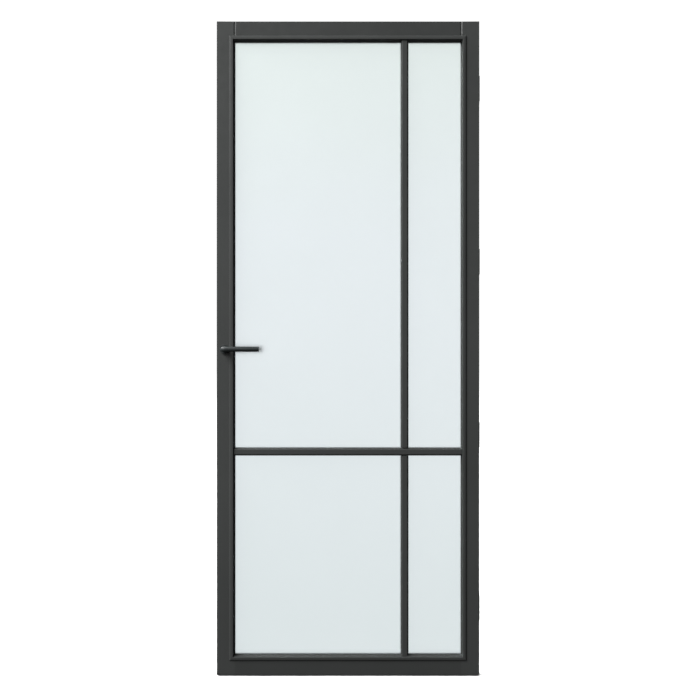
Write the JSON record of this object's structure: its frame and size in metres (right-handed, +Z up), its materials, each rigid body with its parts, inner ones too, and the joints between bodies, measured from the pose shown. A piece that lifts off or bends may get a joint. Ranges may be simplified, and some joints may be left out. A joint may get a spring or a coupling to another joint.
{
  "type": "glass door",
  "caption": "Slim framed interior glass door leaf with glazing bars, butt hinges, magnetic latch and a round bar lever on each face.",
  "frame": {"origin": "middle of the leaf's bottom edge, in the leaf's mid-plane", "axes": "+X across the leaf towards the hinges, +Y through the leaf away from the front face, +Z up"},
  "size_m": [0.9369, 0.154, 2.315],
  "materials": {
    "frame_paint": "satin anthracite paint on solid wood",
    "bead_paint": "satin anthracite paint on solid wood",
    "bar_paint": "satin anthracite paint on solid wood",
    "glass": "clear laminated",
    "tape": "closed-cell foam tape",
    "rubber_block": "matt",
    "beech": "plain beech",
    "hinge_steel": "satin stainless",
    "lever_black": "satin black powder coat",
    "latch_black": "moulded",
    "lock_steel": "bright zinc plate",
    "zinc": "die-cast zinc"
  },
  "bodies": {
    "jamb_plates": {"hinge_1_jamb_plate": "hinge_steel", "hinge_2_jamb_plate": "hinge_steel", "hinge_3_jamb_plate": "hinge_steel", "hinge_4_jamb_plate": "hinge_steel", "hinge_1_pin": "hinge_steel", "hinge_2_pin": "hinge_steel", "hinge_3_pin": "hinge_steel", "hinge_4_pin": "hinge_steel", "hinge_bearings": "zinc"},
    "door": {"lock_stile": "frame_paint", "hinge_stile": "frame_paint", "top_rail": "frame_paint", "bottom_rail": "frame_paint", "corner_dowels": "beech", "glass_pane": "glass", "front_glazing_tapes": "tape", "back_glazing_tapes": "tape", "setting_blocks": "rubber_block", "front_bead_lock_side": "bead_paint", "front_bead_hinge_side": "bead_paint", "front_bead_top": "bead_paint", "front_bead_bottom": "bead_paint", "back_bead_lock_side": "bead_paint", "back_bead_hinge_side": "bead_paint", "back_bead_top": "bead_paint", "back_bead_bottom": "bead_paint", "front_cross_bar": "bar_paint", "front_upright_bar_upper": "bar_paint", "front_upright_bar_lower": "bar_paint", "back_cross_bar": "bar_paint", "back_upright_bar_upper": "bar_paint", "back_upright_bar_lower": "bar_paint", "front_bar_tapes": "tape", "back_bar_tapes": "tape", "hinge_1_door_plate": "hinge_steel", "hinge_2_door_plate": "hinge_steel", "hinge_3_door_plate": "hinge_steel", "hinge_4_door_plate": "hinge_steel", "hinge_screws": "hinge_steel", "lock_case": "lock_steel", "lock_cover": "lock_steel", "lock_cover_screws": "zinc", "faceplate": "hinge_steel", "faceplate_screws": "hinge_steel", "latch_spring": "lock_steel", "follower_spring": "lock_steel", "front_rose_base": "zinc", "front_rose_cap": "lever_black", "back_rose_base": "zinc", "back_rose_cap": "lever_black", "rose_screws": "zinc"},
    "lever": {"front_lever": "lever_black", "back_lever": "lever_black", "spindle": "lock_steel", "follower": "zinc", "grub_screws": "lock_steel"},
    "latch": {"latch_bolt": "latch_black", "latch_magnet": "zinc"}
  },
  "joints": [
    {"name": "door_swing", "type": "hinge", "parent": "jamb_plates", "child": "door", "pos_m": [0.4654, 0.0268, 1.1575], "axis": [0, 0, -1], "range_deg": [0, 170]},
    {"name": "lever_turn", "type": "hinge", "parent": "door", "child": "lever", "pos_m": [-0.4375, 0, 1.154], "axis": [0, 1, 0], "range_deg": [0, 40], "stiffness_Nm_per_rad": 1.5, "springref_deg": -34.38, "deforming": ["follower_spring"]},
    {"name": "latch_slide", "type": "slide", "parent": "door", "child": "latch", "axis": [-1, 0, 0], "range_m": [0, 0.01], "stiffness_N_per_m": 30, "springref_m": -0.01, "deforming": ["latch_spring"]}
  ]
}
